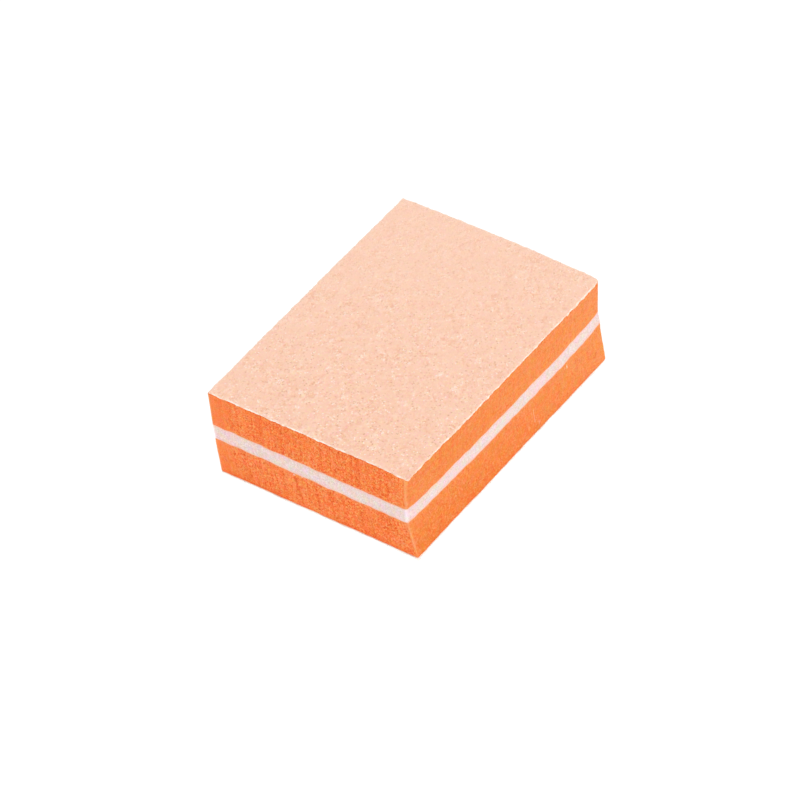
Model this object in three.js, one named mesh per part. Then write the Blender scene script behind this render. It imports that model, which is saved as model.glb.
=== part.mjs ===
// Small nail buffer block: a bonded sandwich of abrasive paper, EVA foam and a white core,
// cut out of a laminated sheet with straight blades.
//
// Units are millimetres and +Z is up. The origin is the centre of the face the block rests on.
// +X runs along the block's length, +Y along its width.
import * as THREE from "three";

const { clamp, inverseLerp, lerp } = THREE.MathUtils;

// ---- nominal rectangle -------------------------------------------------------------------
const LENGTH = 35; // X
const WIDTH = 25; // Y
const CORNERS = [
  { signX: 1, signY: 1, radius: 0.12 },
  { signX: -1, signY: 1, radius: 0.05 },
  { signX: -1, signY: -1, radius: 0.1 },
  { signX: 1, signY: -1, radius: 0.3 },
];
const GLUE_INSET = 0.04; // how far the glue films stop short of the cut edge
const CENTRE = [-0.25, 0.08]; // brings the middle of the cut block over the origin

// ---- layer thicknesses -------------------------------------------------------------------
const GRIT_COAT = 0.1; // resin and abrasive grain on each sheet
const PAPER = 0.16; // paper backing of each abrasive sheet
const PAPER_GLUE = 0.05; // adhesive film that holds a sheet to its foam pad
const FOAM = 4.57; // each EVA foam pad
const CORE_GLUE = 0.05; // adhesive film that holds a foam pad to the core
const CORE = 1.74; // white plastic core

// ---- wall facets -------------------------------------------------------------------------
const SIDE_SPANS = 12; // along each side
const CORNER_SPANS = 3; // around each corner
const FOAM_RINGS = 6; // up each foam pad
const CORE_RINGS = 2; // up the core

// ---- heights -----------------------------------------------------------------------------
const LOWER_FOAM_BOTTOM = GRIT_COAT + PAPER + PAPER_GLUE;
const CORE_BOTTOM = LOWER_FOAM_BOTTOM + FOAM + CORE_GLUE;
const CORE_TOP = CORE_BOTTOM + CORE;
const HEIGHT = CORE_TOP + CORE_BOTTOM;
const UPPER_FOAM_TOP = HEIGHT - LOWER_FOAM_BOTTOM;
const UPPER_PAPER_BOTTOM = HEIGHT - GRIT_COAT - PAPER;

// ---- cut walls ---------------------------------------------------------------------------
// The blades squeeze the foam as they cut, so the walls aren't upright once it springs back:
// the width draws in at the core and the lower pad leans towards -Y.
// Each list holds the -X, +X, -Y and +Y walls. "shift" moves a wall from the nominal
// rectangle along +X or +Y; "bow" is how far its middle stands outwards past its ends.
const LOWER_SHEET_WALLS = { shift: [0.25, 0.28, -0.29, -0.45], bow: [0, 0.06, -0.02, 0] };
const UPPER_SHEET_WALLS = { shift: [0.05, 0.08, 0, -0.02], bow: [-0.03, 0.24, 0.05, 0.06] };
const WALLS = [
  { z: 0, ...LOWER_SHEET_WALLS },
  { z: LOWER_FOAM_BOTTOM, ...LOWER_SHEET_WALLS },
  { z: CORE_BOTTOM, shift: [0.125, 0.37, 0.3, -0.17], bow: [0, 0.08, 0.16, 0.05] },
  { z: CORE_TOP, shift: [0.165, 0.11, 0.27, 0.03], bow: [0, 0.1, 0.13, 0.08] },
  { z: UPPER_FOAM_TOP, shift: [0.05, 0.04, 0, 0.13], bow: [-0.03, 0.24, 0.05, -0.12] },
  { z: UPPER_PAPER_BOTTOM, ...UPPER_SHEET_WALLS },
  { z: HEIGHT, ...UPPER_SHEET_WALLS },
];
const FOAM_EASE = 1.25; // above 1, the foam walls change slowly near the core, then faster

// The wall shifts and bows at a height, eased away from the core inside the foam.
function wallsAt(z) {
  let row = 0;
  while (row < WALLS.length - 2 && z > WALLS[row + 1].z) row++;
  const below = WALLS[row];
  const above = WALLS[row + 1];

  let t = clamp(inverseLerp(below.z, above.z, z), 0, 1);
  if (above.z === CORE_BOTTOM) t = 1 - Math.pow(1 - t, FOAM_EASE);
  if (below.z === CORE_TOP) t = Math.pow(t, FOAM_EASE);

  const blend = (key) => below[key].map((value, side) => lerp(value, above[key][side], t));
  return { shift: blend("shift"), bow: blend("bow") };
}

// Moves a point of the nominal rectangle to where the cut wall really is at height z.
function cutShape(x, y, z) {
  const { shift, bow } = wallsAt(z);
  const alongX = x / (LENGTH / 2); // -1 to 1 across the rectangle
  const alongY = y / (WIDTH / 2);
  const bulgeX = 1 - alongY * alongY; // 1 at the middle of a wall, 0 at its ends
  const bulgeY = 1 - alongX * alongX;
  const minX = -LENGTH / 2 + shift[0] - bow[0] * bulgeX;
  const maxX = LENGTH / 2 + shift[1] + bow[1] * bulgeX;
  const minY = -WIDTH / 2 + shift[2] - bow[2] * bulgeY;
  const maxY = WIDTH / 2 + shift[3] + bow[3] * bulgeY;
  return [
    (minX + maxX) / 2 + (alongX * (maxX - minX)) / 2,
    (minY + maxY) / 2 + (alongY * (maxY - minY)) / 2,
  ];
}

// A rounded rectangle with points along its sides, so that the walls can bow.
function cutOutline(inset) {
  const halfLength = LENGTH / 2 - inset;
  const halfWidth = WIDTH / 2 - inset;

  // The point a fraction t of the way round a corner, anticlockwise.
  const onCorner = (corner, t) => {
    const { signX, signY, radius } = CORNERS[corner];
    const angle = ((corner + t) * Math.PI) / 2;
    return new THREE.Vector2(
      signX * (halfLength - radius) + radius * Math.cos(angle),
      signY * (halfWidth - radius) + radius * Math.sin(angle),
    );
  };

  const points = [];
  for (let corner = 0; corner < CORNERS.length; corner++) {
    for (let i = 0; i <= CORNER_SPANS; i++) points.push(onCorner(corner, i / CORNER_SPANS));
    const sideStart = onCorner(corner, 1);
    const sideEnd = onCorner((corner + 1) % CORNERS.length, 0);
    for (let i = 1; i < SIDE_SPANS; i++) {
      points.push(sideStart.clone().lerp(sideEnd, i / SIDE_SPANS));
    }
  }
  return new THREE.Shape(points);
}

// The outline extruded by a layer's thickness, with its walls carried to the cut shape.
function layerGeometry({ bottom, thickness, rings, inset }) {
  const geometry = new THREE.ExtrudeGeometry(cutOutline(inset), {
    depth: thickness,
    steps: rings,
    bevelEnabled: false,
  });
  const position = geometry.getAttribute("position");
  for (let i = 0; i < position.count; i++) {
    const z = bottom + position.getZ(i);
    position.setXY(i, ...cutShape(position.getX(i), position.getY(i), z));
  }
  geometry.computeVertexNormals();
  return geometry;
}

// ---- materials ---------------------------------------------------------------------------
const nonMetal = (look) => new THREE.MeshStandardMaterial({ ...look, metalness: 0 });
const grit = () => nonMetal({ color: 0xf2b795, roughness: 0.95 });
const paper = () => nonMetal({ color: 0xf4e6da, roughness: 0.9 });
const glue = () => nonMetal({ color: 0xe8d8c8, roughness: 0.5 });
const foam = () => nonMetal({ color: 0xf47a34, roughness: 0.85 });
const core = () => nonMetal({ color: 0xf3ebe6, roughness: 0.6 });

// ---- layers ------------------------------------------------------------------------------
// From an outer face in to the core; the same on both sides of it.
const HALF_STACK = [
  { name: "grit_coat", thickness: GRIT_COAT, material: grit },
  { name: "paper_backing", thickness: PAPER, material: paper },
  { name: "paper_adhesive", thickness: PAPER_GLUE, material: glue, inset: GLUE_INSET },
  { name: "foam_pad", thickness: FOAM, material: foam, rings: FOAM_RINGS },
  { name: "core_adhesive", thickness: CORE_GLUE, material: glue, inset: GLUE_INSET },
];
const halfStack = (side) =>
  HALF_STACK.map((layer) => ({ ...layer, name: `${side}_${layer.name}` }));

// From the bottom up.
const LAYERS = [
  ...halfStack("lower"),
  { name: "core_board", thickness: CORE, material: core, rings: CORE_RINGS },
  ...halfStack("upper").reverse(),
];

const block = new THREE.Group();
block.name = "nail_buffer_block";
block.position.set(...CENTRE, 0);

let bottom = 0;
for (const { name, thickness, material, rings = 1, inset = 0 } of LAYERS) {
  const mesh = new THREE.Mesh(layerGeometry({ bottom, thickness, rings, inset }), material());
  mesh.name = name;
  mesh.position.z = bottom;
  block.add(mesh);
  bottom += thickness;
}

export default block;
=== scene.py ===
# Looks of the nail buffer block: foam pads on a core board, with an abrasive sheet on both faces.
#
# The block lies flat, its long sides along X and its layers stacked up Z from the floor.
# Everything is worked out in millimetres in the frame's axes and written to Blender in metres.
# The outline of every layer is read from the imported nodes, so the pieces follow the design.
import math
from functools import partial

import bpy
import numpy as np
from mathutils import Matrix, Vector


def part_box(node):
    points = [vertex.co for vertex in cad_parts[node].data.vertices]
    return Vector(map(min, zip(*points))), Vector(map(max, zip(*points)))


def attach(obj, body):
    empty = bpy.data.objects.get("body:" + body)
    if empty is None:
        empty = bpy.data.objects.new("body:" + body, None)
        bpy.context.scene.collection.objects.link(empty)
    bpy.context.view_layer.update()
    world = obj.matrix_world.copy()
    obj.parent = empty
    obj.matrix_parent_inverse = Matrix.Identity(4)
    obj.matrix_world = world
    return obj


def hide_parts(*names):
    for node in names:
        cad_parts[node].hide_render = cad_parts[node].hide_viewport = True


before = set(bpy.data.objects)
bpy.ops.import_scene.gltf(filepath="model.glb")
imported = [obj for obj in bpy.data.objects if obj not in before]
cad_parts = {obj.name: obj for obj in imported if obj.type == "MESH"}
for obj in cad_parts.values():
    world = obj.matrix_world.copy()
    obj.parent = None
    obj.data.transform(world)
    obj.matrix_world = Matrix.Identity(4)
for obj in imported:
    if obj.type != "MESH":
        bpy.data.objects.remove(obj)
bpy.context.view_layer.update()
MM = 0.001


# ---- the design's outline, height by height --------------------------------------------------
def read_walls():
    """Fits each ring of the nodes, adhesives apart, as four walls, each a corner position and a bow.

    Returns the heights, and at each the -X, +X, -Y and +Y positions and then their bows.
    """
    rings = {}
    for name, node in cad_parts.items():
        if name.endswith("_adhesive"):
            continue
        points = np.array([v.co for v in node.data.vertices], float).reshape(-1, 3) / MM
        for z in np.unique(np.round(points[:, 2], 4)):
            ring = points[np.abs(points[:, 2] - z) < 2e-4, :2]
            rings.setdefault(float(z), []).append(ring)
    heights, rows = sorted(rings), []
    for z in heights:
        x, y = np.vstack(rings[z]).T
        walls = x.min(), x.max(), y.min(), y.max()
        for _ in range(4):
            low_x, high_x, low_y, high_y = walls
            unit_x = 2 * (x - low_x) / (high_x - low_x) - 1
            unit_y = 2 * (y - low_y) / (high_y - low_y) - 1
            fits = []
            for value, along, on_wall in (
                (x, unit_y, unit_x < -0.9),
                (x, unit_y, unit_x > 0.9),
                (y, unit_x, unit_y < -0.9),
                (y, unit_x, unit_y > 0.9),
            ):
                used = on_wall & (np.abs(along) < 0.955)  # leaves the round corners out
                terms = np.stack([np.ones(used.sum()), 1 - along[used] ** 2], 1)
                fits.append(np.linalg.lstsq(terms, value[used], rcond=None)[0])
            walls = [fit[0] for fit in fits]
        rows.append([*walls, *(fit[1] for fit in fits)])
    return np.array(heights), np.array(rows)


WALL_Z, WALLS = read_walls()
HALF_X = (WALLS[-1][1] - WALLS[-1][0]) / 2
HALF_Y = (WALLS[-1][3] - WALLS[-1][2]) / 2
HEIGHT = float(WALL_Z[-1])
CORNERS = (0.12, 0.05, 0.08, 0.36)  # radii at the +X +Y, -X +Y, -X -Y and +X -Y corners


def z_range(node):
    lo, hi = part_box(node)
    return lo.z / MM, hi.z / MM


SPAN = {node: z_range(node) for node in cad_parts}  # bottom and top of each layer
LOWER_FOAM, UPPER_FOAM = SPAN["lower_foam_pad"], SPAN["upper_foam_pad"]
CORE = SPAN["core_board"]
CAP_INSETS = (1.2, 3.5)  # rings that flatten each bonded face to its plane behind the walls

# The long -Y wall isn't quite parallel to the sheet above it, and the foam and core turn in at
# its -X end. Columns: height, how far the wall's -X end stands in and its +X end out, then how
# far the turned-in corner stands in: a narrow facet on the corner, a turn over the last two
# millimetres and a bend over the last ten.
DRIFT = np.array([
    (0.0, -0.04, 0.0, 0.0, 0.0),
    (LOWER_FOAM[0], -0.04, 0.0, 0.0, 0.0),
    (2.6, 0.0, 0.02, 0.01, 0.05),
    (LOWER_FOAM[1], 0.04, 0.03, 0.03, 0.16),
    (CORE[0], 0.04, 0.12, 0.07, 0.18),
    (CORE[1], 0.0, 0.13, 0.15, 0.13),
    (8.0, 0.0, 0.13, 0.22, 0.06),
    (UPPER_FOAM[1], 0.0, 0.13, 0.27, 0.0),
    (SPAN["upper_paper_backing"][0], 0.0, 0.0, 0.0, 0.0),
    (HEIGHT, 0.0, 0.0, 0.0, 0.0),
])


def cut(unit_x, unit_y, z):
    """The x and y at height z of outline coordinates that run from -1 to 1 between the walls."""
    low_x, high_x, low_y, high_y, *bows = (np.interp(z, WALL_Z, column) for column in WALLS.T)
    low_x = low_x + bows[0] * (1 - unit_y * unit_y)
    high_x = high_x + bows[1] * (1 - unit_y * unit_y)
    low_y = low_y + bows[2] * (1 - unit_x * unit_x)
    high_y = high_y + bows[3] * (1 - unit_x * unit_x)
    lean, facet, turn, bend = (np.interp(z, DRIFT[:, 0], column) for column in DRIFT.T[1:])
    from_end = (unit_x + 1) * HALF_X
    drift = -lean * unit_x + facet * np.clip(1 - from_end / 0.12, 0, 1)
    drift = drift + turn * np.exp(-from_end / 1.4) + bend * np.exp(-from_end / 6.0)
    x = low_x + (high_x - low_x) * (unit_x + 1) / 2
    y = low_y + (high_y - low_y) * (unit_y + 1) / 2
    return x, y + drift * np.clip(1 - (unit_y + 1) * HALF_Y / 7, 0, 1)


# ---- seeded noise and soft steps -------------------------------------------------------------
def noise(shape, cell, spread, seed):
    """Smooth periodic noise of unit deviation.

    cell is the grid step and spread the blur, both (rows, columns) in mm.
    """
    rng = np.random.default_rng(seed)
    spectrum = np.fft.rfft2(rng.standard_normal(shape))
    row_waves = np.fft.fftfreq(shape[0], cell[0])[:, None]
    column_waves = np.fft.rfftfreq(shape[1], cell[1])[None, :]
    blur = (row_waves * spread[0]) ** 2 + (column_waves * spread[1]) ** 2
    spectrum *= np.exp(-2 * math.pi**2 * blur)
    spectrum[0, 0] = 0
    values = np.fft.irfft2(spectrum, s=shape)
    return values / max(float(values.std()), 1e-12)


def line_noise(count, step, spread, seed):
    return noise((1, count), (1.0, step), (0.0, spread), seed)[0]


def ease(value):
    value = np.clip(value, 0, 1)
    return value * value * (3 - 2 * value)


def bell(value):
    return np.exp(-(value**2))


def round_over(distance, radius):
    """How far a quarter-round edge stands back, as a share, at a distance from its end."""
    return 1 - np.sqrt(np.clip(1 - (1 - np.clip(distance / radius, 0, 1)) ** 2, 0, 1))


# ---- the perimeter ---------------------------------------------------------------------------
def round_corner(unit_x, unit_y):
    """Moves points of the nominal rectangle so that its corners are round."""
    x, y = unit_x * HALF_X, unit_y * HALF_Y
    radius = np.where(
        unit_y > 0,
        np.where(unit_x > 0, CORNERS[0], CORNERS[1]),
        np.where(unit_x > 0, CORNERS[3], CORNERS[2]),
    )
    # Distances past the start of the corner's arc, in radii.
    past_x = (np.abs(x) - (HALF_X - radius)) / radius
    past_y = (np.abs(y) - (HALF_Y - radius)) / radius
    inside = (past_x > 0) & (past_y > 0)
    round_x = past_x * np.sqrt(np.clip(1 - past_y * past_y / 2, 0, 1))
    round_y = past_y * np.sqrt(np.clip(1 - past_x * past_x / 2, 0, 1))
    x = np.where(inside, np.sign(x) * (HALF_X - radius + round_x * radius), x)
    y = np.where(inside, np.sign(y) * (HALF_Y - radius + round_y * radius), y)
    return x / HALF_X, y / HALF_Y


class Rim:
    """Points all round the block at a step, anticlockwise from the -X -Y corner.

    side is 0, 1, 2 or 3 on the -Y, +X, +Y or -X wall, and along is x or y along that wall.
    """

    def __init__(self, step):
        self.step = step
        self.count_x, self.count_y = round(2 * HALF_X / step), round(2 * HALF_Y / step)
        run_x = np.arange(self.count_x) / self.count_x * 2 - 1
        run_y = np.arange(self.count_y) / self.count_y * 2 - 1
        ones_x, ones_y = np.ones(self.count_x), np.ones(self.count_y)
        unit_x = np.concatenate([run_x, ones_y, -run_x, -ones_y])
        unit_y = np.concatenate([-ones_x, run_y, ones_x, -run_y])
        self.count = len(unit_x)
        # Distance from the nearest corner, along the wall the point is on.
        on_short = (np.abs(unit_x) >= 1 - 1e-9) & (np.abs(unit_y) < 1 - 1e-9)
        self.to_corner = np.where(
            on_short, HALF_Y - np.abs(unit_y * HALF_Y), HALF_X - np.abs(unit_x * HALF_X)
        )
        # 1 on the short -X and +X walls and 0 on the long ones, softened at the corners.
        reach = max(1, round(0.3 / step))
        short = np.where(on_short, 1.0, 0.0)
        self.end = np.mean([np.roll(short, k) for k in range(-reach, reach + 1)], axis=0)
        self.unit_x, self.unit_y = round_corner(unit_x, unit_y)
        self.side = np.repeat([0, 1, 2, 3], [self.count_x, self.count_y] * 2)
        self.along = np.where(self.side % 2 == 1, self.unit_y * HALF_Y, self.unit_x * HALF_X)
        # The run along the nominal rim, so that pieces of any step share one set of waves.
        self.run = np.concatenate([
            (run_x + 1) * HALF_X,
            2 * HALF_X + (run_y + 1) * HALF_Y,
            2 * HALF_X + 2 * HALF_Y + (run_x + 1) * HALF_X,
            4 * HALF_X + 2 * HALF_Y + (run_y + 1) * HALF_Y,
        ])
        units = np.stack([self.unit_x, self.unit_y], 1)
        tangent = np.roll(units, -1, axis=0) - np.roll(units, 1, axis=0)
        tangent *= (HALF_X, HALF_Y)
        normal = np.stack([tangent[:, 1], -tangent[:, 0]], 1)
        self.normal = normal / np.linalg.norm(normal, axis=1)[:, None]

    def ring(self, z, out=0.0, rise=0.0):
        """The rim at height z, moved outwards by out and up by rise."""
        x, y = cut(self.unit_x, self.unit_y, z)
        x, y = x + self.normal[:, 0] * out, y + self.normal[:, 1] * out
        return np.stack([x, y, np.full(self.count, float(z)) + rise], 1)

    def inner_ring(self, z, inset):
        """A ring at height z that stands inset mm inside the walls."""
        x, y = cut(self.unit_x * (1 - inset / HALF_X), self.unit_y * (1 - inset / HALF_Y), z)
        return np.stack([x, y, np.full(self.count, float(z))], 1)

    def own_noise(self, spread, seed):
        """Smooth noise along the rim, for one piece."""
        return line_noise(self.count, self.step, spread, seed)

    def shared_noise(self, spread, seed):
        """Smooth noise along the rim that is the same for every piece, whatever its step."""
        count, length = 3600, 4 * (HALF_X + HALF_Y)
        wave = line_noise(count, length / count, spread, seed)
        return np.interp(self.run, np.arange(count) * length / count, wave, period=length)


def bond_drag(rim, z):
    """How far the blade drags a bond line up at the cut walls, most at the core."""
    share = np.interp(z, [0, LOWER_FOAM[1], UPPER_FOAM[0], HEIGHT], [0, 1, 1, 0])
    core = np.interp(z, CORE, [0, 1])
    wave = 0.030 - 0.014 * core + 0.018 * rim.shared_noise(2.6, 11)
    for weight, seed in ((1 - core, 12), (core, 14)):
        ragged = 0.030 * rim.shared_noise(0.32, seed)
        ragged = ragged + 0.020 * np.tanh(3.0 * rim.shared_noise(0.45, seed + 1))
        wave = wave + weight * ragged
    dip = -0.05 * bell((rim.unit_x * HALF_X - 9.5) / 3.5) * (rim.side == 0)
    # The bond lines rise towards both ends of the long -Y wall, and a little at the -X +Y corner.
    to_far = np.hypot((1 - rim.unit_x) * HALF_X, (rim.unit_y + 1) * HALF_Y)
    to_near = np.hypot((1 + rim.unit_x) * HALF_X, 4 * (rim.unit_y + 1) * HALF_Y)
    pull = (0.40 - 0.08 * core) * np.exp(-to_far / 1.7)
    pull = pull + (0.04 + 0.05 * core) * np.exp(-to_near / 3.5)
    on_end = np.exp(-(1 + rim.unit_x) * HALF_X / 1.0)
    pull = pull + 0.045 * ease((rim.unit_y * HALF_Y + 5) / 9) * on_end
    return share * (wave + dip + pull)


def wall_wave(rim):
    """How far the cut wanders from its line, the same through the whole laminate."""
    return 0.010 * rim.shared_noise(1.6, 21) + 0.010 * rim.shared_noise(0.45, 22)


def sheet_wave(rim):
    """The wander of a sheet's edge: proud at the -X -Y corner and blunt at the +X -Y corner."""
    near = np.exp(-rim.to_corner / 1.0) * (rim.unit_x < 0) * (rim.unit_y < 0)
    blunt = np.exp(-rim.to_corner / 0.6) * (rim.unit_x > 0) * (rim.unit_y < 0)
    # Grains torn out of the rim leave it ragged, most of all on the +X and +Y edges.
    depth = np.where((rim.side == 1) | (rim.side == 2), 0.020, 0.008)
    return wall_wave(rim) + depth * rim.shared_noise(0.13, 31) + 0.13 * near - 0.13 * blunt


# ---- mesh building ---------------------------------------------------------------------------
def make_object(name, points, quads, polygons, attributes, sharp=None):
    """An object from points in mm. sharp is the crease angle in degrees, None for flat faces."""
    mesh = bpy.data.meshes.new(name)
    loops = np.concatenate([quads.ravel(), *polygons]).astype(np.int32)
    sizes = np.array([4] * len(quads) + [len(p) for p in polygons], np.int32)
    mesh.vertices.add(len(points))
    mesh.vertices.foreach_set("co", (points * MM).astype(np.float32).ravel())
    mesh.loops.add(len(loops))
    mesh.loops.foreach_set("vertex_index", loops)
    mesh.polygons.add(len(sizes))
    starts = np.concatenate([[0], np.cumsum(sizes)[:-1]]).astype(np.int32)
    mesh.polygons.foreach_set("loop_start", starts)
    mesh.polygons.foreach_set("loop_total", sizes)
    mesh.update(calc_edges=True)
    mesh.validate()
    mesh.polygons.foreach_set("use_smooth", np.full(len(sizes), sharp is not None))
    if sharp is not None:
        mesh.set_sharp_from_angle(angle=math.radians(sharp))
    for key, values in attributes.items():
        attribute = mesh.attributes.new(key, "FLOAT", "POINT")
        attribute.data.foreach_set("value", np.asarray(values, np.float32))
    piece = bpy.data.objects.new(name, mesh)
    bpy.context.scene.collection.objects.link(piece)
    return piece


def band(low, high):
    """Quads between two closed loops of vertex indices."""
    return np.stack([low, np.roll(low, -1), np.roll(high, -1), high], 1)


def closed_body(name, rim, span, rings, attributes, sharp):
    """A layer from its wall rings, bottom to top, closed by a flat face at each end of its span.

    An attribute has one value a rim point, used on every ring, or one row a wall ring.
    """
    below = [rim.inner_ring(span[0], inset) for inset in CAP_INSETS[::-1]]
    above = [rim.inner_ring(span[1], inset) for inset in CAP_INSETS]
    points = np.vstack(below + rings + above)
    loops = np.arange(len(points)).reshape(-1, rim.count)
    quads = np.vstack([band(low, high) for low, high in zip(loops[:-1], loops[1:])])
    values = {}
    for key, value in attributes.items():
        if value.ndim == 1:
            values[key] = np.tile(value, len(loops))
        else:
            rows = np.broadcast_to(value, (len(rings), rim.count))
            values[key] = np.pad(rows, ((len(below), len(above)), (0, 0))).ravel()
    return make_object(name, points, quads, [loops[0][::-1], loops[-1]], values, sharp)


# ---- foam pads -------------------------------------------------------------------------------
def cut_creases(rim, heights, creases):
    """The depth of the knife creases, and how far the foam beside them springs proud."""
    groove = np.zeros((len(heights), rim.count))
    spring = np.zeros_like(groove)
    z = heights[:, None]
    for side, along0, z0, along1, z1, depth, width in creases:
        share = np.clip((z - z0) / (z1 - z0), 0, 1)
        path = along0 + (along1 - along0) * share + 0.05 * np.sin(z * 5.1 + along0)
        off = rim.along[None, :] - path
        fade = ease((z - min(z0, z1)) / 0.35 + 0.5) * ease((max(z0, z1) - z) / 0.35 + 0.5)
        on_crease = (rim.side == side)[None, :] * fade
        groove += on_crease * depth * bell(off / width)
        spring += on_crease * 0.012 * np.tanh(off / 0.15) * np.exp(-np.abs(off) / 0.8)
    return groove, spring


def scatter_flecks(rim, heights, flecks):
    """The strength of pale crumbs of core plastic and thin scratches."""
    strengths = np.zeros((len(heights), rim.count))
    along, z = rim.along[None, :], heights[:, None]
    for side, along0, z0, along1, z1, width, strength in flecks:
        run, rise = along1 - along0, z1 - z0
        share = ((along - along0) * run + (z - z0) * rise) / max(run * run + rise * rise, 1e-9)
        share = np.clip(share, 0, 1)
        far = np.hypot(along - along0 - share * run, z - z0 - share * rise)
        strengths += strength * (rim.side == side)[None, :] * bell(far / width)
    return strengths


def foam_pad(name, span, paper_on_top, blade, seed, creases=(), flecks=()):
    """A pad whose walls carry the cells the blade cut open.

    One end is bonded to the paper, the other to the core. blade is how strong the blade's
    upright lines are.
    """
    rim = Rim(0.079)
    low, high = span
    near_end = np.array([0.0, 0.03, 0.07, 0.12, 0.18])
    inside = np.linspace(low + 0.25, high - 0.25, 51)
    heights = np.concatenate([low + near_end, inside, high - near_end[::-1]])
    rows = len(heights)
    end = rim.end[None, :]
    field = partial(noise, (rows, rim.count), ((high - low) / rows, rim.step))
    # Cells: small hollows where the blade opened a bubble, with the walls between them standing.
    cells = field((0.055, 0.052), seed)
    pits = np.clip(field((0.1, 0.1), seed + 1) - 1.7, 0, 1.6)
    strokes = field((1.9, 0.055), seed + 2) * blade
    swell = 0.014 * field((0.9, 2.2), seed + 3)
    # Where the blade ran clean the cells are smeared flat, most at the -X wall's +Y end.
    patch = 1.0 + 0.22 * field((0.9, 1.1), seed + 4)
    smeared = ease((rim.unit_y * HALF_Y - 9.7) / 1.4) * (rim.side == 3)
    grain = cells * np.clip(patch * (1 - 0.5 * smeared[None, :]), 0.3, 1.6)
    relief = grain * (0.006 + 0.008 * end) - pits * (0.010 + 0.009 * end)
    relief = relief + strokes * (0.0015 + 0.0025 * end) + swell
    crease, spring = cut_creases(rim, heights, creases)
    fleck = scatter_flecks(rim, heights, flecks)
    relief = relief + spring - crease + 0.02 * np.clip(fleck, 0, 1)
    # Both ends roll in where the pad is bonded, more under the paper than at the core.
    from_top, from_bottom = high - heights, heights - low
    from_paper, from_core = (from_top, from_bottom) if paper_on_top else (from_bottom, from_top)
    from_end = np.minimum(from_top, from_bottom)
    roll = 0.05 * round_over(from_paper, 0.14) + 0.012 * round_over(from_core, 0.1)
    quiet = ease(from_end / 0.16)
    wander = wall_wave(rim)
    # The rows next to the bonds are torn up and down, but not the bonded edges themselves.
    torn = 0.024 * rim.own_noise(0.13, seed + 5)
    tear = np.where(from_end > 0, 0.6, 0.0) * np.exp(-from_end / 0.09)
    rings = [
        rim.ring(z, wander + relief[i] * quiet[i] - roll[i], bond_drag(rim, z) + torn * tear[i])
        for i, z in enumerate(heights)
    ]
    attributes = {
        "relief": relief - swell,
        "grain": grain,
        "strokes": strokes,
        # corner: where the painted highlight runs along the vertical corners.
        "corner": bell(rim.to_corner / np.where(rim.unit_x > 0, 0.26, 0.17)),
        "endcut": rim.end,
        "smear": smeared,
        "paper_shadow_line": np.exp(-from_paper / 0.1)[:, None],
        "coreline": np.exp(-from_core / 0.1)[:, None],
        "crease": crease / 0.035,
        "fleck": fleck,
        "foot_shade_line": np.zeros(rim.count) if paper_on_top else bell(from_paper / 0.45)[:, None],
    }
    return closed_body(name, rim, span, rings, attributes, sharp=60)


# ---- core board ------------------------------------------------------------------------------
def core_board(name, span):
    rim = Rim(0.1)
    low, high = span
    near_end = np.array([0.0, 0.02, 0.06])
    inside = np.linspace(low + 0.12, high - 0.12, 17)
    heights = np.concatenate([low + near_end, inside, high - near_end[::-1]])
    rows = len(heights)
    field = partial(noise, (rows, rim.count), ((high - low) / rows, rim.step))
    shear = field((0.9, 0.11), 301)
    grain = field((0.12, 0.2), 302)
    swell = 0.012 * field((0.8, 1.8), 303)
    relief = shear * (0.0045 + 0.003 * rim.end)[None, :] + grain * 0.004 + swell
    wander = wall_wave(rim)
    from_end = np.minimum(heights - low, high - heights)
    roll = 0.012 * round_over(from_end, 0.07)
    quiet = np.minimum(1, from_end / 0.05 + 0.15)
    rings = [
        rim.ring(z, wander + relief[i] * quiet[i] - roll[i], bond_drag(rim, z))
        for i, z in enumerate(heights)
    ]
    attributes = {
        "relief": relief - swell,
        "bondline": np.exp(-from_end / 0.15)[:, None],
        # corner: where the painted highlight runs along the core's vertical corners.
        "corner": bell(rim.to_corner / 0.2),
        "endcut": rim.end,
    }
    return closed_body(name, rim, span, rings, attributes, sharp=60)


# ---- abrasive sheets -------------------------------------------------------------------------
def paper_sheet(name, span, foam_side, burr, seed):
    """Paper backing with a fibrous cut edge.

    foam_side is -1 when the foam is below the sheet and 1 when it's above. burr is how far
    the blade has dragged the edge over the foam, 1 for the usual amount.
    """
    rim = Rim(0.05)
    rows = 6
    fibre = noise((rows, rim.count), (0.032, rim.step), (0.03, 0.07), seed)
    coarse = rim.own_noise(0.22, seed + 1)
    patch = rim.own_noise(0.2, seed + 4) + 0.5 * rim.own_noise(0.07, seed + 5)
    rng = np.random.default_rng(seed + 3)
    spikes = np.zeros((rows, rim.count))
    for _ in range(230):
        column, row = rng.integers(rim.count), rng.integers(1, rows - 1)
        spikes[row, column] += rng.uniform(0.03, 0.12)
    # Burr: the blade drags the foam side of the sheet over the glue line here and there.
    drag = np.clip(rim.own_noise(0.17, seed + 2) - 0.3, 0, 2.2) * (0.065 - 0.023 * rim.end)
    drag = drag + (0.052 - 0.030 * rim.end) * rim.own_noise(0.4, seed + 6)
    drag = drag + 0.018 * (1 - rim.end)
    drag = drag + (0.030 - 0.014 * rim.end) * np.tanh(3 * rim.own_noise(0.12, seed + 7))
    corner = np.exp(-rim.to_corner / 1.2) * (rim.unit_x > 0) * (rim.unit_y < 0)
    drag = burr * (drag + 0.14 * corner)
    wander = sheet_wave(rim)
    rings = []
    for i, z in enumerate(np.linspace(*span, rows)):
        share = (z - span[0]) / (span[1] - span[0])
        to_foam = 1 - share if foam_side < 0 else share
        out = wander + 0.006 * fibre[i] + 0.008 * coarse + spikes[i] + 0.018 * to_foam
        rings.append(rim.ring(z, out, foam_side * drag * to_foam**2))
    attributes = {"fibre": fibre, "patch": patch, "endcut": rim.end}
    return closed_body(name, rim, span, rings, attributes, sharp=50)


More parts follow.
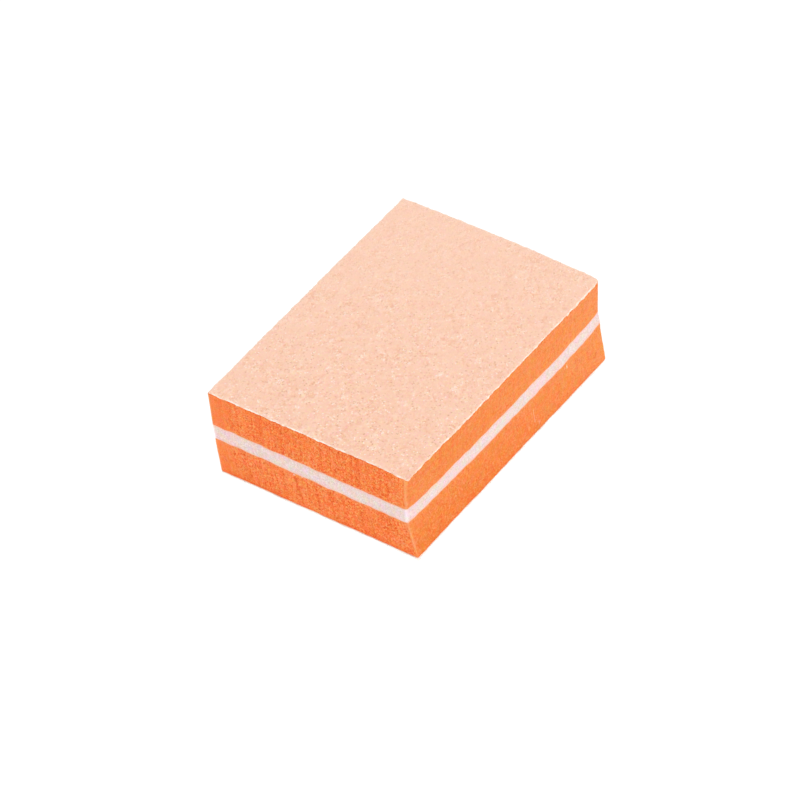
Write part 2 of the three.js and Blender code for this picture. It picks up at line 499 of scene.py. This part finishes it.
def chipped_edge(rim, seed):
    """How far grains have chipped off the coat's edge."""
    chip = 0.018 + 0.026 * np.clip(rim.own_noise(0.16, seed + 4), -0.6, 3.0)
    chip = chip + 0.075 * np.clip(rim.own_noise(0.3, seed + 5) - 1.35, 0, 1.4)
    chip = chip + 0.018 * (rim.side == 2)
    bites = 0.008 + 0.045 * np.clip(rim.own_noise(0.22, seed + 7) - 0.9, 0, 1.6)
    return chip + rim.end * (rim.unit_x < 0) * bites


def grit_coat(name, span, face, seed):
    """The abrasive coat: grains standing out of resin. face is 1 when it faces up, -1 down."""
    step = 0.1
    rim = Rim(step)
    last_row, last_column = rim.count_y, rim.count_x
    shape = (last_row + 1, last_column + 1)
    rng = np.random.default_rng(seed)
    unit_x, unit_y = np.meshgrid(np.linspace(-1, 1, shape[1]), np.linspace(-1, 1, shape[0]))
    # Vertices inside the sheet are shaken off the grid, so that the facets have no pattern.
    shake = rng.uniform(-0.34, 0.34, (2, *shape)) * step
    inside = np.zeros(shape)
    inside[2:-2, 2:-2] = 1
    unit_x, unit_y = unit_x + shake[0] * inside / HALF_X, unit_y + shake[1] * inside / HALF_Y
    unit_x, unit_y = round_corner(unit_x, unit_y)
    z_back, z_face = span[::face]
    x, y = cut(unit_x, unit_y, z_face)
    # Grains: close-packed lumps of about 0.2 mm, some proud, some sunk in resin.
    lumps, clumps, waves = (
        noise(shape, (step, step), (spread, spread), seed + k)
        for k, spread in ((1, 0.075), (2, 0.2), (3, 2.4))
    )
    raw = rng.standard_normal(shape)
    crowd = np.clip(1 + 0.28 * noise(shape, (step, step), (0.5, 0.5), seed + 6), 0.3, 1.9)
    grain = (0.55 * raw + 0.95 * lumps + 0.5 * clumps) * crowd
    grain /= grain.std()
    depth = 0.030 - 0.0125 * np.clip(grain, -2.4, 2.4) - 0.0015 * waves
    # The cut presses the rim of the coat down and chips grains off it, so bare paper shows.
    row, column = np.indices(shape)
    to_walls = np.stack([row, last_column - column, last_row - row, column])  # in side order
    from_edge = to_walls.min(axis=0) * step
    depth = depth + 0.028 * bell(from_edge / 0.13)
    chip = chipped_edge(rim, seed)
    wander = sheet_wave(rim)
    edge = [(0, k) for k in range(last_column)]
    edge += [(k, last_column) for k in range(last_row)]
    edge += [(last_row, last_column - k) for k in range(last_column)]
    edge += [(last_row - k, 0) for k in range(last_row)]
    edge_row, edge_column = np.array(edge).T
    row_in = np.where(edge_row == 0, 1, np.where(edge_row == last_row, -1, 0))
    column_in = np.where(edge_column == 0, 1, np.where(edge_column == last_column, -1, 0))
    # The rim's in-and-out moves fade over the first few grid rows.
    move = np.zeros((2, *shape))
    weight = np.zeros(shape)
    for k in range(6):
        fade = (1 - k / 6.0) ** 1.5
        place = (edge_row + row_in * k, edge_column + column_in * k)
        np.add.at(weight, place, 1.0)
        for axis in (0, 1):
            np.add.at(move[axis], place, rim.normal[:, axis] * (wander - chip) * fade)
    weight = np.maximum(weight, 1.0)
    x, y = x + move[0] / weight, y + move[1] / weight
    grid = np.stack([x, y, z_face - face * depth], -1).reshape(-1, 3)
    rough_middle = 0.004 * rng.standard_normal(rim.count)
    rough_back = 0.003 * rng.standard_normal(rim.count)
    rings = [
        rim.ring(z_face - face * 0.062, wander - chip * 0.75 + rough_middle),
        rim.ring(z_back, wander - 0.01 + rough_back),
        *(rim.inner_ring(z_back, inset) for inset in CAP_INSETS),
    ]
    index = np.arange(len(grid)).reshape(shape)
    quads = np.stack([index[:-1, :-1], index[:-1, 1:], index[1:, 1:], index[1:, :-1]], -1)
    ring_index = len(grid) + np.arange(len(rings) * rim.count).reshape(-1, rim.count)
    loops = [index[edge_row, edge_column], *ring_index]
    walls = [band(low, high) for high, low in zip(loops[:-1], loops[1:])]
    quads, cap = np.vstack([quads.reshape(-1, 4), *walls]), loops[-1][::-1]
    if face < 0:
        quads, cap = quads[:, ::-1], cap[::-1]
    # How much pale paper shows, by side: most on the +X and +Y edges and least on the -Y one.
    bare = np.array([0.2, 3.3, 2.6, 1.2])
    rim_line = np.exp(-from_edge / 0.1) * bare[to_walls.argmin(axis=0)]
    on_caps = np.zeros(rim.count * len(CAP_INSETS))
    attributes = {
        "grain": np.concatenate([grain.ravel(), np.zeros(ring_index.size)]),
        "rimline": np.concatenate([rim_line.ravel(), np.tile(bare[rim.side], 2), on_caps]),
    }
    return make_object(name, np.vstack([grid, *rings]), quads, [cap], attributes)


# ---- glue films ------------------------------------------------------------------------------
def glue_film(name, span, at_core, seed):
    """An uneven adhesive film: flush with the walls at the core, short of them at the paper."""
    rim = Rim(0.12)
    bead = 0.02 * rim.own_noise(0.35, seed) + 0.01 * rim.own_noise(0.12, seed + 1)
    bead = np.clip(bead, -0.008, 0.012) if at_core else np.clip(bead, -0.06, 0.03)
    wander = wall_wave(rim)
    inset = 0.004 if at_core else 0.045
    rings = []
    for share, bulge in ((0.0, 0.0), (0.5, 0.014), (1.0, 0.0)):
        z = span[0] + (span[1] - span[0]) * share
        rings.append(rim.ring(z, wander - inset + bead + bulge, bond_drag(rim, z)))
    return closed_body(name, rim, span, rings, {}, sharp=50)


# ---- materials -------------------------------------------------------------------------------
class Shader:
    """A material under construction. Textures are in mm, and tints build up self.colour."""

    def __init__(self, name):
        self.material = bpy.data.materials.new(name)
        self.material.use_nodes = True
        self.tree = self.material.node_tree
        self.tree.nodes.clear()
        output = self.add("OutputMaterial")
        self.bsdf = self.add("BsdfPrincipled")
        self.tree.links.new(self.bsdf.outputs[0], output.inputs["Surface"])
        coord = self.add("TexCoord")
        self.mm = self.vector("MULTIPLY", coord.outputs["Object"], (1 / MM, 1 / MM, 1 / MM))
        self.colour = None

    def put(self, socket, value):
        if isinstance(value, bpy.types.NodeSocket):
            self.tree.links.new(value, socket)
        else:
            socket.default_value = value

    def add(self, kind, inputs=None, **settings):
        node = self.tree.nodes.new("ShaderNode" + kind)
        for key, value in settings.items():
            setattr(node, key, value)
        for key, value in (inputs or {}).items():
            self.put(node.inputs[key], value)
        return node

    def vector(self, operation, first, second):
        return self.add("VectorMath", {0: first, 1: second}, operation=operation).outputs[0]

    def math(self, operation, *values, clamp=False):
        inputs = dict(enumerate(values))
        return self.add("Math", inputs, operation=operation, use_clamp=clamp).outputs[0]

    def times(self, first, second, clamp=False):
        return self.math("MULTIPLY", first, second, clamp=clamp)

    def linear(self, value, gain, plus):
        return self.math("MULTIPLY_ADD", value, gain, plus)

    def noise(self, scale, detail=2.0, rough=0.5, stretch=(1.0, 1.0, 1.0), offset=None):
        place = self.vector("MULTIPLY", self.mm, stretch)
        if offset:
            place = self.vector("ADD", place, offset)
        inputs = {"Vector": place, "Scale": scale, "Detail": detail, "Roughness": rough}
        return self.add("TexNoise", inputs).outputs[0]

    def voronoi(self, scale, output):
        place = self.vector("MULTIPLY", self.mm, (1.0, 1.0, 1.0))
        return self.add("TexVoronoi", {"Vector": place, "Scale": scale}).outputs[output]

    def random_cells(self, scale):
        """Three random values a cell."""
        return self.add("SeparateColor", {0: self.voronoi(scale, "Color")}).outputs

    def axes(self):
        return self.add("SeparateXYZ", {0: self.mm}).outputs

    def attribute(self, name):
        return self.add("Attribute", attribute_name=name).outputs["Fac"]

    def span(self, value, over, to=(0.0, 1.0)):
        """Maps the range over onto the range to, clamped."""
        inputs = {"Value": value, "From Min": over[0], "From Max": over[1]}
        inputs |= {"To Min": to[0], "To Max": to[1]}
        return self.add("MapRange", inputs).outputs["Result"]

    def mix(self, factor, start, end):
        """Blends two colours, all start at a factor of 0 and all end at 1."""
        start, end = ((*c, 1.0) if isinstance(c, tuple) else c for c in (start, end))
        return self.add("Mix", {0: factor, 6: start, 7: end}, data_type="RGBA").outputs[2]

    def tint(self, amount, tone, strength=None, clamp=False):
        """Blends tone into the colour by amount, times strength when one is given."""
        if strength is not None:
            amount = self.times(amount, strength, clamp)
        self.colour = self.mix(amount, self.colour, tone)

    def wander_hue(self, scale, red, blue, offset):
        """Lets the hue wander at about even brightness. red and blue are the usual changes."""
        warm, cool = (
            self.linear(self.noise(scale, 4.0, 0.75, offset=place), gain=8.0, plus=-4.0)
            for place in (offset, tuple(x + 11.3 for x in offset))
        )
        gain = self.add("CombineXYZ", {
            0: self.linear(warm, red, 1.0),
            1: self.linear(warm, -0.85 * red, self.linear(cool, -0.1 * blue, 1.0)),
            2: self.linear(cool, blue, 1.0),
        })
        self.colour = self.vector("MULTIPLY", self.colour, gain.outputs[0])

    def bump(self, height, depth, strength):
        inputs = {"Strength": strength, "Distance": depth * MM, "Height": height}
        return self.add("Bump", inputs).outputs[0]

    def finish(self, roughness, specular, normal=None):
        self.put(self.bsdf.inputs["Base Color"], self.colour)
        self.put(self.bsdf.inputs["Roughness"], roughness)
        if normal is not None:
            self.put(self.bsdf.inputs["Normal"], normal)
        self.bsdf.inputs["Specular IOR Level"].default_value = specular
        return self.material


def foam_material():
    mat = Shader("foam")
    relief, grain, end_cut = (mat.attribute(key) for key in ("relief", "grain", "endcut"))
    mottle = mat.noise(scale=0.55, detail=3.0, rough=0.55)
    stroke = mat.noise(scale=1.0, rough=0.6, stretch=(5.5, 5.5, 1.1))
    # The long walls are cut clean and pale, the short walls rougher. The short walls' deeper, redder
    # colour is partly the rough cut's own and partly painted shade, for these less lit walls and the
    # light held in their cells.
    clean, rough = (
        mat.mix(mat.span(mottle, over=(0.35, 0.68)), start, end)
        for start, end in (
            ((0.808, 0.223, 0.053), (0.828, 0.257, 0.067)),
            ((0.890, 0.192, 0.045), (0.910, 0.227, 0.059)),
        )
    )
    x, y, z = mat.axes()
    # The foam has faded a little towards its +X end, and is deepest low down on the lower pad.
    fade = mat.span(x, over=(-6.0, 17.0), to=(0.0, 0.55))
    clean = mat.mix(fade, clean, end=(0.845, 0.305, 0.102))
    low = mat.span(z, over=(5.0, 0.5))
    low = mat.times(low, mat.span(x, over=(16.0, -8.0), to=(0.2, 1.0)))
    clean = mat.mix(low, clean, end=(0.79, 0.195, 0.035))
    fade = mat.span(y, over=(-2.0, 12.0), to=(0.0, 0.5))
    fade = mat.times(fade, mat.span(z, over=(0.8, 3.5)))
    rough = mat.mix(fade, rough, end=(0.905, 0.248, 0.076))
    pads = mat.span(z, over=(5.2, 6.4))
    pads = mat.mix(pads, start=(1.015, 1.020, 1.045), end=(1.0, 0.952, 0.912))
    rough = mat.vector("MULTIPLY", rough, pads)
    mat.colour = mat.mix(end_cut, clean, rough)
    # Cell grain as painted light: a painted highlight on the walls between opened cells, which catch
    # the light, and painted shade in the hollows.
    small = mat.linear(mat.noise(scale=5.6, detail=1.0), gain=7.0, plus=-3.5)
    tiny = mat.noise(scale=9.5, detail=0.0, offset=(7.1, 3.3, 5.9))
    tiny = mat.linear(tiny, gain=6.0, plus=-3.0)
    fine = mat.linear(small, gain=0.46, plus=mat.times(tiny, 1.02))
    cells = mat.linear(grain, gain=0.58, plus=fine)
    # The blade leaves fine upright lines, the full height of a pad, drawn in the same painted shade
    # and highlight.
    lines = mat.attribute("strokes")
    cells = mat.linear(lines, gain=mat.linear(end_cut, gain=0.17, plus=0.20), plus=cells)
    strength = mat.linear(end_cut, gain=0.38, plus=0.60)
    kept = mat.linear(mat.attribute("smear"), gain=-0.45, plus=1.0)
    strength = mat.times(strength, kept)
    shadow = mat.times(mat.span(cells, over=(0.0, -2.6)), strength)
    shine = mat.times(mat.span(cells, over=(0.0, 2.6)), strength)
    mat.tint(shadow, tone=(0.74, 0.085, 0.014))
    mat.tint(shine, tone=(0.94, 0.385, 0.15))
    # On the short walls some cells keep a thin skin with a painted glint, and others are torn open,
    # with painted shade in the hole.
    glinting_skin, shaded_hole, _ = mat.random_cells(scale=6.2)
    kept = mat.linear(mat.attribute("smear"), gain=-0.8, plus=1.0)
    torn = mat.times(end_cut, kept)
    for cell, limit, strength, tone in (
        (glinting_skin, 0.94, 0.5, (0.96, 0.50, 0.14)),
        (shaded_hole, 0.955, 0.42, (0.50, 0.085, 0.02)),
    ):
        chosen = mat.math("GREATER_THAN", cell, limit)
        mat.tint(chosen, tone, strength=mat.times(torn, strength))
    # Painted shade in the deepest pits of the cut cells.
    mat.tint(mat.span(relief, over=(-0.022, -0.05)), tone=(0.60, 0.08, 0.016), strength=0.55)
    streak = mat.span(stroke, over=(0.52, 0.75))
    strength = mat.linear(end_cut, gain=0.10, plus=0.08)
    mat.tint(streak, tone=(0.74, 0.13, 0.03), strength=strength)
    # A painted highlight along the vertical corners, where the rounded edge catches the light.
    corner = mat.attribute("corner")
    strength = mat.span(mat.noise(scale=1.6), over=(0.25, 0.6), to=(0.45, 0.8))
    mat.tint(corner, tone=(0.90, 0.41, 0.165), strength=strength)
    mat.tint(mat.attribute("coreline"), tone=(0.88, 0.37, 0.19), strength=0.5)
    # Painted shade in a thin line under the paper's overhanging edge.
    mat.tint(mat.attribute("paper_shadow_line"), tone=(0.74, 0.13, 0.028), strength=0.4)
    # Painted shade in deep patches along the lower pad's foot, next to the lower sheet.
    foot = mat.attribute("foot_shade_line")
    clouds = mat.noise(scale=0.45, offset=(2.7, 0.4, 1.9))
    foot = mat.times(foot, mat.span(clouds, over=(0.42, 0.62), to=(0.15, 0.75)))
    strength = mat.linear(end_cut, gain=0.55, plus=0.45)
    mat.tint(foot, tone=(0.80, 0.115, 0.018), strength=strength)
    # Painted shade in the knife creases.
    mat.tint(mat.attribute("crease"), tone=(0.80, 0.11, 0.020), strength=0.5, clamp=True)
    mat.tint(mat.attribute("fleck"), tone=(0.92, 0.72, 0.60), strength=0.85, clamp=True)
    mat.wander_hue(scale=1.3, red=0.058, blue=0.225, offset=(3.1, 8.4, 5.2))
    height = mat.linear(small, gain=0.5, plus=mat.times(tiny, 0.4))
    normal = mat.bump(height, depth=0.008, strength=0.8)
    roughness = mat.span(small, over=(-1.5, 1.5), to=(0.97, 0.80))
    return mat.finish(roughness, specular=0.10, normal=normal)


def grit_material(name, pale_rim):
    """The grit coat. pale_rim is how strongly bare paper shows at its edges; the lower sheet's
    higher value is painted light.
    """
    mat = Shader(name)
    grain = mat.attribute("grain")
    cell_a, cell_b, cell_c = mat.random_cells(scale=7.0)
    distance = mat.voronoi(scale=7.0, output="Distance")
    mottle = mat.noise(scale=0.5, detail=4.0, rough=0.6)
    patches = mat.noise(scale=2.3)
    # Grains crowd together in places and leave smooth resin between.
    crowd = mat.noise(scale=0.9, detail=3.0, rough=0.6, offset=(9.2, 2.6, 0.0))
    crowd = mat.span(crowd, over=(0.38, 0.62), to=(0.75, 1.75))
    # The coat is fuller towards the +X +Y corner, and its specks stand out less there.
    x, y, _ = mat.axes()
    across = mat.math("ADD", x, mat.times(y, 0.8))
    crowd = mat.times(crowd, mat.span(across, over=(-20.0, 24.0), to=(1.22, 0.38)))
    mottle = mat.span(mottle, over=(0.3, 0.7))
    base = mat.mix(mottle, start=(0.925, 0.580, 0.432), end=(0.935, 0.600, 0.455))
    gain = mat.span(across, over=(-24.0, 24.0))
    gain = mat.mix(gain, start=(0.998, 0.992, 0.986), end=(1.018, 1.052, 1.072))
    mat.colour = mat.vector("MULTIPLY", base, gain)

    def fleck(amount, strength, tone):
        mat.tint(mat.times(amount, strength), tone, strength=crowd)

    fleck(mat.span(grain, over=(0.2, 2.2)), strength=0.48, tone=(0.97, 0.74, 0.60))
    fleck(mat.span(grain, over=(-0.2, -2.2)), strength=0.62, tone=(0.86, 0.475, 0.325))
    fleck(mat.span(patches, over=(0.55, 0.72)), strength=0.25, tone=(0.95, 0.62, 0.40))
    # Single grains of another colour: random value, test, limit, strength, tone.
    for cell, test, limit, strength, tone in (
        (cell_a, "GREATER_THAN", 0.86, 0.36, (0.93, 0.68, 0.42)),
        (cell_b, "GREATER_THAN", 0.88, 0.38, (0.95, 0.53, 0.49)),
        (cell_c, "GREATER_THAN", 0.960, 0.44, (0.72, 0.41, 0.27)),
        (cell_c, "LESS_THAN", 0.036, 0.38, (0.99, 0.86, 0.78)),
    ):
        fleck(mat.math(test, cell, limit), strength, tone)
    mat.wander_hue(scale=1.2, red=0.013, blue=0.045, offset=(5.7, 2.1, 8.8))
    mat.tint(mat.attribute("rimline"), tone=(0.96, 0.80, 0.70), strength=pale_rim)
    domes = mat.span(distance, over=(0.0, 0.6), to=(1.0, 0.0))
    height = mat.math("ADD", domes, mat.times(mat.noise(scale=14.0), 0.5))
    normal = mat.bump(height, depth=0.02, strength=0.6)
    roughness = mat.span(cell_a, over=(0.0, 1.0), to=(0.72, 0.97))
    return mat.finish(roughness, specular=0.15, normal=normal)


def paper_material(name, pale, tan, worn):
    """Paper in two tones. worn is how much of its edge is stained tan, 1 for the usual."""
    mat = Shader(name)
    fibre, patch, end_cut = (mat.attribute(key) for key in ("fibre", "patch", "endcut"))
    strands = mat.noise(scale=1.0, detail=3.0, rough=0.65, stretch=(5.0, 5.0, 22.0))
    mottle = mat.noise(scale=1.1, detail=3.0, rough=0.6)
    stain = mat.noise(scale=1.5, rough=0.65, offset=(4.2, 1.7, 0.3))
    lighter = tuple(min(0.96, c * 1.05) for c in pale)
    mat.colour = mat.mix(mat.span(mottle, over=(0.3, 0.7)), pale, lighter)
    # The cut edge soaks up resin in places, and there it's nearly as warm as the grit.
    mat.tint(mat.span(stain, over=(0.47, 0.58)), tan, strength=0.7 * worn)
    # Elsewhere the coat has burst off, and clean white paper shows, most on the short walls.
    stained = mat.span(patch, over=(0.1, -0.9))
    mat.tint(stained, tan, strength=mat.linear(end_cut, gain=-0.06, plus=0.94 * worn))
    burst = mat.span(patch, over=(0.3, 1.3))
    strength = mat.linear(end_cut, gain=0.55, plus=0.17)
    mat.tint(burst, tone=(0.96, 0.93, 0.85), strength=strength)
    mat.tint(mat.span(strands, over=(0.5, 0.75)), tan, strength=0.3)
    mat.tint(mat.span(fibre, over=(0.4, 2.0)), tone=(0.96, 0.90, 0.81), strength=0.55)
    darker = tuple(c * 0.93 for c in tan)
    mat.tint(mat.span(fibre, over=(-0.6, -2.2)), darker, strength=0.4)
    normal = mat.bump(strands, depth=0.02, strength=0.7)
    roughness = mat.span(mottle, over=(0.3, 0.7), to=(0.82, 0.96))
    return mat.finish(roughness, specular=0.12, normal=normal)


def glue_material():
    mat = Shader("adhesive")
    streaks = mat.noise(scale=0.9, detail=3.0, rough=0.6, stretch=(1.0, 1.0, 6.0))
    bubbles = mat.voronoi(scale=2.4, output="Distance")
    amount = mat.span(streaks, over=(0.3, 0.7))
    mat.colour = mat.mix(amount, start=(0.88, 0.50, 0.35), end=(0.91, 0.60, 0.46))
    bubbles = mat.span(bubbles, over=(0.0, 0.12), to=(1.0, 0.0))
    mat.tint(bubbles, tone=(0.93, 0.72, 0.56), strength=0.4)
    normal = mat.bump(streaks, depth=0.02, strength=0.5)
    roughness = mat.span(streaks, over=(0.3, 0.7), to=(0.35, 0.6))
    return mat.finish(roughness, specular=0.3, normal=normal)


def core_material():
    mat = Shader("core")
    relief, bond, corner = (mat.attribute(key) for key in ("relief", "bondline", "corner"))
    shear = mat.noise(scale=1.0, detail=3.0, rough=0.6, stretch=(4.0, 4.0, 0.9))
    mottle = mat.noise(scale=0.7, detail=3.0, rough=0.55)
    clouds = mat.noise(scale=0.42, offset=(1.3, 6.1, 2.2))
    dust = mat.noise(scale=6.5, rough=0.7)
    amount = mat.span(mottle, over=(0.32, 0.68))
    mat.colour = mat.mix(amount, start=(0.795, 0.608, 0.577), end=(0.820, 0.648, 0.612))
    # Clouds, shear marks, painted shade in the hollows, and dust: texture, the range it shows over,
    # strength, tone.
    for texture, over, strength, tone in (
        (clouds, (0.52, 0.66), 0.6, (0.765, 0.665, 0.60)),
        (clouds, (0.46, 0.34), 0.6, (0.86, 0.63, 0.62)),
        (shear, (0.5, 0.72), 0.4, (0.735, 0.575, 0.53)),
        (relief, (-0.003, -0.016), 0.45, (0.72, 0.56, 0.515)),
        (dust, (0.52, 0.66), 0.82, (0.94, 0.79, 0.74)),
        (dust, (0.48, 0.34), 0.82, (0.665, 0.49, 0.455)),
    ):
        mat.tint(mat.span(texture, over), tone, strength)
    mat.tint(bond, tone=(0.88, 0.48, 0.36), strength=0.55)
    # A painted highlight along the core's vertical corners.
    mat.tint(corner, tone=(0.94, 0.82, 0.80), strength=0.75)
    mat.wander_hue(scale=1.1, red=0.068, blue=0.135, offset=(6.2, 1.9, 4.4))
    height = mat.math("ADD", shear, mat.times(dust, 0.3))
    normal = mat.bump(height, depth=0.012, strength=0.6)
    roughness = mat.span(shear, over=(0.3, 0.7), to=(0.5, 0.7))
    return mat.finish(roughness, specular=0.18, normal=normal)


# ---- build -----------------------------------------------------------------------------------
FOAM = foam_material()
GRIT = grit_material("abrasive_grit", pale_rim=0.2)
PAPER = paper_material("paper_backing", pale=(0.92, 0.79, 0.67), tan=(0.92, 0.60, 0.45), worn=1.0)
GLUE = glue_material()
CORE_PLASTIC = core_material()
# The lower sheet's cut edge is given paler colours than the upper one's. This is painted light, so
# that the edge looks as bright as the white floor instead of shaded.
LOWER_GRIT_PAINTED_PALE = grit_material("abrasive_grit_lower_painted_light", pale_rim=0.8)
LOWER_PAPER_PAINTED_PALE = paper_material(
    "paper_backing_lower_painted_light", pale=(0.92, 0.90, 0.87), tan=(0.93, 0.80, 0.70), worn=0.25
)

# Side, place along the wall and height of the start, the same of the end, depth, width.
LOWER_CREASES = [
    (3, 1.75, 0.35, 2.30, 4.45, 0.03, 0.13),
    (3, -5.92, 0.9, -6.02, 3.6, 0.030, 0.07),
]
# Side, place along the wall and height of the start, the same of the end, width, strength.
LOWER_FLECKS = [
    (0, 10.72, 4.48, 10.77, 4.12, 0.085, 0.8),
    (0, 10.35, 4.40, 10.38, 4.32, 0.06, 0.4),
    (0, 4.30, 3.33, 4.30, 1.70, 0.05, 0.35),
    (0, 3.95, 3.20, 3.96, 2.30, 0.05, 0.2),
    (0, 4.95, 1.45, 4.97, 0.90, 0.05, 0.25),
    (3, 2.35, 4.62, 2.25, 4.66, 0.09, 1.0),
    (3, 1.3, 4.80, 1.2, 4.80, 0.07, 0.9),
]
UPPER_FLECKS = [(3, 3.1, 6.95, 3.05, 7.0, 0.06, 0.8)]

# Bottom to top: object, the node it replaces, slot, material, builder and its options.
LAYERS = [
    ("lower_grit_face", "lower_grit_coat", "grit_coat", LOWER_GRIT_PAINTED_PALE,
     grit_coat, dict(face=-1, seed=501)),
    ("lower_paper_sheet", "lower_paper_backing", "paper_backing", LOWER_PAPER_PAINTED_PALE,
     paper_sheet, dict(foam_side=1, burr=0.25, seed=401)),
    ("lower_paper_glue", "lower_paper_adhesive", "adhesive", GLUE,
     glue_film, dict(at_core=False, seed=601)),
    ("lower_foam_cut", "lower_foam_pad", "foam", FOAM,
     foam_pad, dict(paper_on_top=False, blade=0.68, seed=101,
                    creases=LOWER_CREASES, flecks=LOWER_FLECKS)),
    ("lower_core_glue", "lower_core_adhesive", "adhesive", GLUE,
     glue_film, dict(at_core=True, seed=611)),
    ("core_board_cut", "core_board", "core", CORE_PLASTIC, core_board, {}),
    ("upper_core_glue", "upper_core_adhesive", "adhesive", GLUE,
     glue_film, dict(at_core=True, seed=621)),
    ("upper_foam_cut", "upper_foam_pad", "foam", FOAM,
     foam_pad, dict(paper_on_top=True, blade=0.95, seed=201, flecks=UPPER_FLECKS)),
    ("upper_paper_glue", "upper_paper_adhesive", "adhesive", GLUE,
     glue_film, dict(at_core=False, seed=631)),
    ("upper_paper_sheet", "upper_paper_backing", "paper_backing", PAPER,
     paper_sheet, dict(foam_side=-1, burr=1.0, seed=451)),
    ("upper_grit_face", "upper_grit_coat", "grit_coat", GRIT,
     grit_coat, dict(face=1, seed=551)),
]
pieces = [build(name, SPAN[node], **options) for name, node, _, _, build, options in LAYERS]
for piece, (_, node, slot, material, _, _) in zip(pieces, LAYERS):
    piece.data.materials.append(material)
    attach(piece, "root")
    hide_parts(node)

# ---- stage, in metres ------------------------------------------------------------------------
FLOOR_HALF = 3.0
FLOOR_DROP = 0.00002  # keeps the floor just clear of the block's bottom face
LIGHT_DISTANCE = 0.9
STUDIO_LIGHT = 0.72  # world strength on the block
STUDIO_SEEN_EXTRA = 0.34  # added where the camera sees the world, to look as white as the floor
scene = bpy.context.scene

floor_mesh = bpy.data.meshes.new("floor")
floor_corners = [
    (x * FLOOR_HALF, y * FLOOR_HALF, 0) for x, y in ((-1, -1), (1, -1), (1, 1), (-1, 1))
]
floor_mesh.from_pydata(floor_corners, [], [(0, 1, 2, 3)])
floor = bpy.data.objects.new("floor", floor_mesh)
floor.location.z = -FLOOR_DROP
scene.collection.objects.link(floor)
sweep = Shader("floor_sweep")
clouds = sweep.noise(scale=0.02, detail=3.0)
sweep.colour = sweep.mix(clouds, start=(0.15, 0.15, 0.15), end=(0.17, 0.17, 0.17))
sweep.finish(roughness=0.9, specular=0.0)
sweep.bsdf.inputs["Emission Color"].default_value = (1, 1, 1, 1)
sweep.bsdf.inputs["Emission Strength"].default_value = 0.95
floor_mesh.materials.append(sweep.material)

world = bpy.data.worlds.new("studio")
scene.world = world
world.use_nodes = True
world_tree = world.node_tree
background = world_tree.nodes["Background"]
background.inputs["Color"].default_value = (1.0, 1.0, 1.0, 1)
rays = world_tree.nodes.new("ShaderNodeLightPath")
strength = world_tree.nodes.new("ShaderNodeMath")
strength.operation = "MULTIPLY_ADD"
strength.inputs[1].default_value = STUDIO_SEEN_EXTRA
strength.inputs[2].default_value = STUDIO_LIGHT
world_tree.links.new(rays.outputs["Is Camera Ray"], strength.inputs[0])
world_tree.links.new(strength.outputs[0], background.inputs["Strength"])


def direction(azimuth, elevation):
    """The direction from the block, in degrees: azimuth turns from -Y towards +X."""
    turn, rise = math.radians(azimuth), math.radians(elevation)
    x, y = math.sin(turn) * math.cos(rise), -math.cos(turn) * math.cos(rise)
    return Vector((x, y, math.sin(rise)))


def softbox(name, azimuth, elevation, size, watts):
    """A square soft light aimed at the block's middle."""
    back = direction(azimuth, elevation)
    data = bpy.data.lights.new(name, "AREA")
    data.shape = "SQUARE"
    data.size = size
    data.energy = watts
    light = bpy.data.objects.new(name, data)
    light.location = back * LIGHT_DISTANCE + Vector((0, 0, HEIGHT / 2 * MM))
    light.rotation_mode = "QUATERNION"
    light.rotation_quaternion = back.to_track_quat("Z", "Y")
    scene.collection.objects.link(light)


softbox("key", azimuth=18.0, elevation=42.0, size=0.5, watts=2.95)
softbox("fill", azimuth=-95.0, elevation=35.0, size=0.7, watts=1.75)

# ---- camera: angles in degrees, lengths in mm ------------------------------------------------
AZIMUTH, ELEVATION, ROLL = -51.814, 43.011, -4.846
AIM = Vector((-0.25, 0.08, 5.75))
SHIFT_LEFT, SHIFT_DOWN = 0.860, 2.468  # off the aim, in the camera's own axes
DISTANCE = 632.9

camera_data = bpy.data.cameras.new("camera")
camera_data.sensor_width = 36.0
camera_data.lens = 273.735
camera_data.clip_start, camera_data.clip_end = 0.02, 50.0
camera = bpy.data.objects.new("camera", camera_data)
back = direction(AZIMUTH, ELEVATION)
level = Vector((math.cos(math.radians(AZIMUTH)), math.sin(math.radians(AZIMUTH)), 0.0))
upright = back.cross(level)
roll = math.radians(ROLL)
right = level * math.cos(roll) + upright * math.sin(roll)
up = upright * math.cos(roll) - level * math.sin(roll)
place = (AIM - right * SHIFT_LEFT - up * SHIFT_DOWN + back * DISTANCE) * MM
camera.matrix_world = Matrix((
    (right.x, up.x, back.x, place.x),
    (right.y, up.y, back.y, place.y),
    (right.z, up.z, back.z, place.z),
    (0, 0, 0, 1),
))
scene.collection.objects.link(camera)
scene.camera = camera
scene.view_settings.view_transform = "Standard"
scene.view_settings.look = "None"
